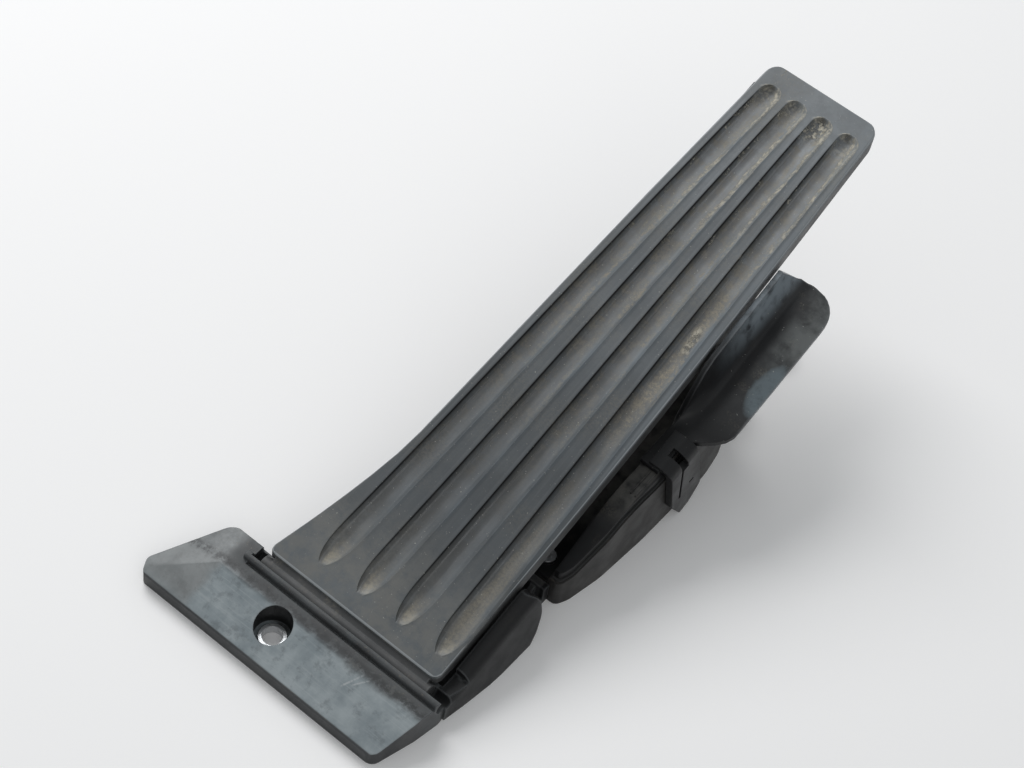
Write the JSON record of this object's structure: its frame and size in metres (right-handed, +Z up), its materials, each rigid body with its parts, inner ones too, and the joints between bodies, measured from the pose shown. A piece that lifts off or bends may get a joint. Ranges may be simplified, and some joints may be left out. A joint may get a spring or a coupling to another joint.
{
  "type": "accelerator pedal",
  "caption": "Floor hinged accelerator pedal with a long grooved pad, a bolted heel plate, a sprung lever housing under the pad and a guard wing at its side.",
  "frame": {"origin": "axis of the heel bolt's sleeve at floor level", "axes": "+Z up off the floor, +Y from the heel plate to the pad's toe, +X to the right"},
  "size_m": [0.1303, 0.2767, 0.0988],
  "materials": {
    "tread_plastic": "moulded grooved plastic, dusty in the grooves",
    "carrier_plastic": "moulded plastic",
    "frame_plastic": "satin moulded plastic with scuffs",
    "housing_plastic": "glass filled moulded plastic",
    "cover_plastic": "moulded plastic",
    "wing_plastic": "satin moulded plastic",
    "lever_plastic": "glass filled moulded plastic",
    "steel": "ground steel",
    "zinc": "zinc plated",
    "spring_steel": "drawn wire",
    "bush_plastic": "natural plain bearing plastic",
    "shoe_plastic": "friction lining",
    "rubber": "moulded rubber",
    "board": "coated circuit board",
    "contact_metal": "plated contacts"
  },
  "bodies": {
    "base": {"base_frame": "frame_plastic", "heel_sleeve": "zinc", "frame_screws": "zinc", "housing_shell": "housing_plastic", "deck_cover": "cover_plastic", "cheek_cap": "cover_plastic", "cover_gasket": "rubber", "cover_screws": "zinc", "guard_wing": "wing_plastic", "sensor_board": "board", "connector_socket": "cover_plastic", "connector_pins": "contact_metal", "shaft_bush_left": "bush_plastic", "shaft_bush_right": "bush_plastic", "friction_shoe": "shoe_plastic", "rest_bumper": "rubber", "full_stop_bumper": "rubber", "rear_sleeves": "zinc", "return_spring_left": "spring_steel", "return_spring_right": "spring_steel"},
    "pedal": {"pedal_carrier": "carrier_plastic", "pad_tread": "tread_plastic"},
    "lever": {"lever_arm": "lever_plastic", "lever_shaft": "steel", "magnet_rotor": "lever_plastic", "link_pin": "steel", "link_rollers": "bush_plastic"}
  },
  "joints": [
    {"name": "pedal_hinge", "type": "hinge", "parent": "base", "child": "pedal", "pos_m": [0, 0.016, 0.011], "axis": [1, 0, 0], "range_deg": [-11.5, 0], "stiffness_Nm_per_rad": 8, "springref_deg": 14.32},
    {"name": "lever_pivot", "type": "hinge", "parent": "base", "child": "lever", "pos_m": [0.026, 0.148, 0.0115], "axis": [1, 0, 0], "range_deg": [-29.2, 0], "deforming": ["return_spring_left", "return_spring_right"]}
  ],
  "couplings": [
    {"joint": "lever_pivot", "follows": "pedal_hinge", "ratio": 2.5355}
  ]
}
